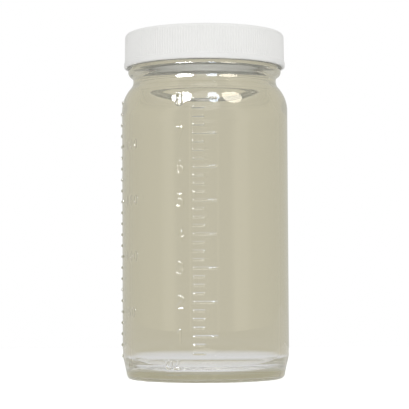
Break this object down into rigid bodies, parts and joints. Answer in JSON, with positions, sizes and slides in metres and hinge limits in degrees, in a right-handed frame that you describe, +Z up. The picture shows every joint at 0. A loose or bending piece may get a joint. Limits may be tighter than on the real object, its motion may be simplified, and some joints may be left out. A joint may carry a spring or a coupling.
{
  "type": "graduated glass bottle",
  "caption": "Clear glass wide-mouth bottle with moulded ounce and millilitre scales and a ribbed white screw cap that turns up off its thread",
  "frame": {"origin": "centre of the base plane that the bottle stands on", "axes": "+Z up along the bottle's axis, the ounce scale faces -Y, the millilitre scale is at -X"},
  "size_m": [0.0624, 0.0624, 0.1288],
  "materials": {
    "clear_glass": "clear pressed and blown glass, smooth",
    "white_plastic": "satin moulded polypropylene, fine upright ribs",
    "liner_foam": "matt closed-cell foam"
  },
  "bodies": {
    "bottle": {"glass_bottle": "clear_glass"},
    "liner": {"cap_liner": "liner_foam"},
    "cap": {"screw_cap": "white_plastic"}
  },
  "joints": [
    {"name": "cap_lift", "type": "slide", "parent": "bottle", "child": "liner", "axis": [0, 0, 1], "range_m": [0, 0.0127]},
    {"name": "cap_turn", "type": "hinge", "parent": "liner", "child": "cap", "pos_m": [0, 0, 0.122], "axis": [0, 0, 1], "range_deg": [0, 1080]}
  ],
  "couplings": [
    {"joint": "cap_lift", "follows": "cap_turn", "m_per_rad": 0.0006737}
  ]
}
